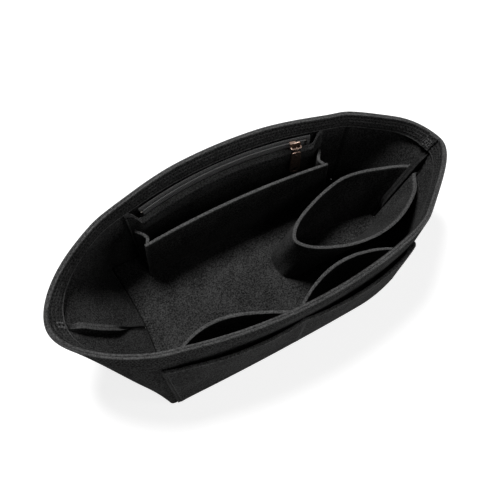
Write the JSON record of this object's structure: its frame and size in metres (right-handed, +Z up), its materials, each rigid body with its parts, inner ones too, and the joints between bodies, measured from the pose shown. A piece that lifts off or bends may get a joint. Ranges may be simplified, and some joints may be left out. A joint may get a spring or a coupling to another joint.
{
  "type": "purse organizer insert",
  "caption": "Felt handbag organizer insert with a leaf-shaped open rim, zip pocket, gusseted slip pocket, bottle loop and slip pockets inside and outside the front.",
  "frame": {"origin": "middle of the underside, on the line through both side seams", "axes": "+X towards the end with the bottle pocket, -Y towards the front with the outer pockets, +Z up"},
  "size_m": [0.374, 0.1756, 0.0967],
  "materials": {
    "felt": "matte needle-punched felt",
    "zip_tape": "woven tape",
    "zip_coil": "nylon coil",
    "zip_metal": "rose bronze plating"
  },
  "bodies": {
    "insert": {"base_panel": "felt", "front_body_panel": "felt", "back_body_panel": "felt", "front_rim_band": "felt", "back_rim_band": "felt", "right_seam_tack": "felt", "outer_pocket_panel": "felt", "inner_pocket_strip": "felt", "bottle_pocket_loop": "felt", "zip_pocket_panel": "felt", "slip_pocket_front": "felt", "slip_pocket_gusset_left": "felt", "slip_pocket_gusset_right": "felt", "zip_tape_upper": "zip_tape", "zip_tape_lower": "zip_tape", "zip_coil_upper": "zip_coil", "zip_coil_lower": "zip_coil", "zip_top_stop_upper": "zip_metal", "zip_top_stop_lower": "zip_metal", "zip_bottom_stop": "zip_metal"},
    "slider": {"zip_slider_body": "zip_metal", "zip_slider_bridge": "zip_metal"},
    "link": {"zip_pull_link": "zip_metal"},
    "pull": {"zip_pull_tab": "zip_metal"}
  },
  "joints": [
    {"name": "zip_slide", "type": "hinge", "parent": "insert", "child": "slider", "pos_m": [0, -0.26236, 0.077], "axis": [0, 0, 1], "range_deg": [-0.5, 25.2]},
    {"name": "link_swing", "type": "hinge", "parent": "slider", "child": "link", "pos_m": [0.06943, 0.06281, 0.077], "axis": [-0.978, 0.2088, 0], "range_deg": [-1, 15]},
    {"name": "pull_swing", "type": "hinge", "parent": "link", "child": "pull", "pos_m": [0.06943, 0.06281, 0.0715], "axis": [-0.978, 0.2088, 0], "range_deg": [-1, 7]}
  ]
}
